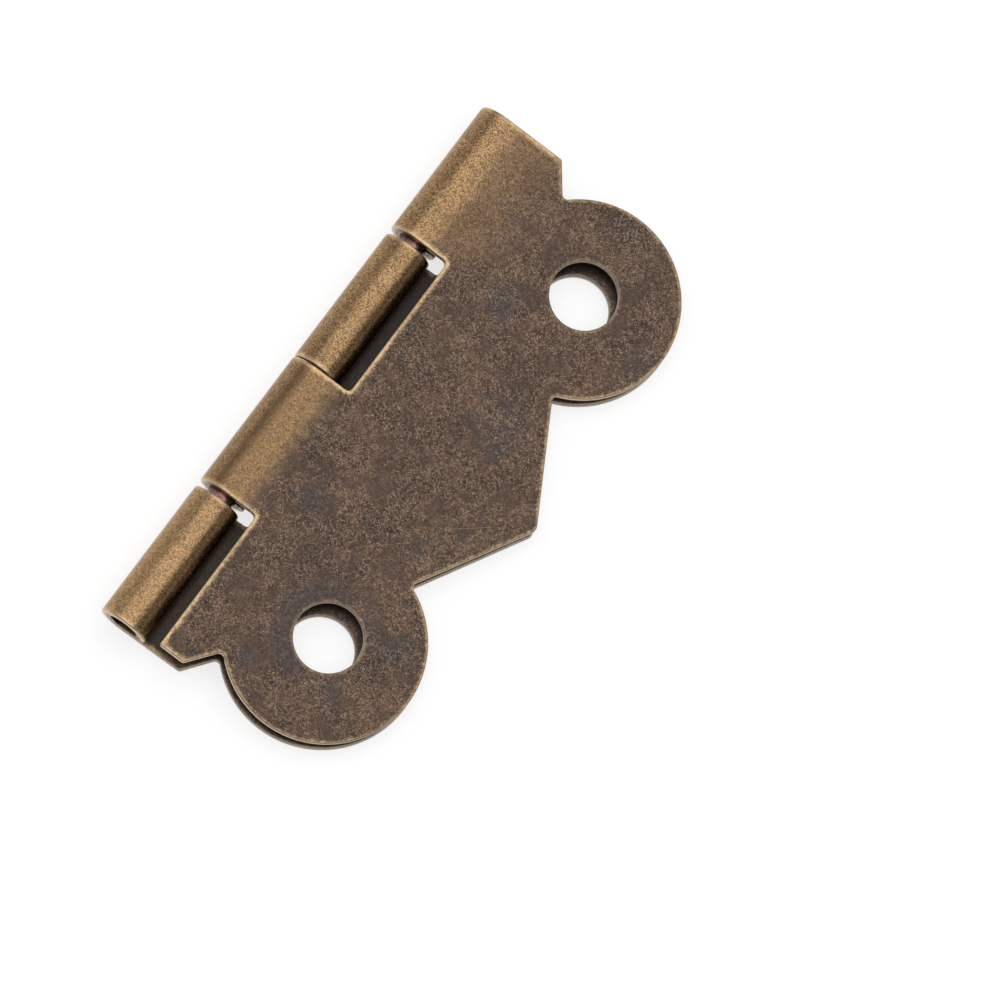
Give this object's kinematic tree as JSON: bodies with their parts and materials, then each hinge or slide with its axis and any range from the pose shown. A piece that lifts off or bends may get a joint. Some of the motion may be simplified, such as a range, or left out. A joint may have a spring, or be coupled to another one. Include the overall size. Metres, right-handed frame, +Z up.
{
  "type": "butterfly hinge",
  "caption": "Small closed butterfly hinge of stamped sheet steel with rolled knuckles, a loose pin and round lobes with screw holes.",
  "frame": {"origin": "midway between the lower leaf's two screw holes, on its flat back", "axes": "+X from the pin towards the tips of the leaves, +Y along the pin, +Z up, away from the surface that the lower leaf lies on"},
  "size_m": [0.0139, 0.0301, 0.0025],
  "materials": {
    "leaf_bronze": "antique bronze plating, speckled, worn to brass along the edges",
    "pin_copper": "thin copper plating, satin"
  },
  "bodies": {
    "fixed_leaf": {"lower_leaf": "leaf_bronze", "hinge_pin": "pin_copper"},
    "swinging_leaf": {"upper_leaf": "leaf_bronze"}
  },
  "joints": [
    {"name": "leaf_swing", "type": "hinge", "parent": "fixed_leaf", "child": "swinging_leaf", "pos_m": [-0.0079, 0.00019, 0.00125], "axis": [0, -1, 0], "range_deg": [0, 186.6]}
  ]
}
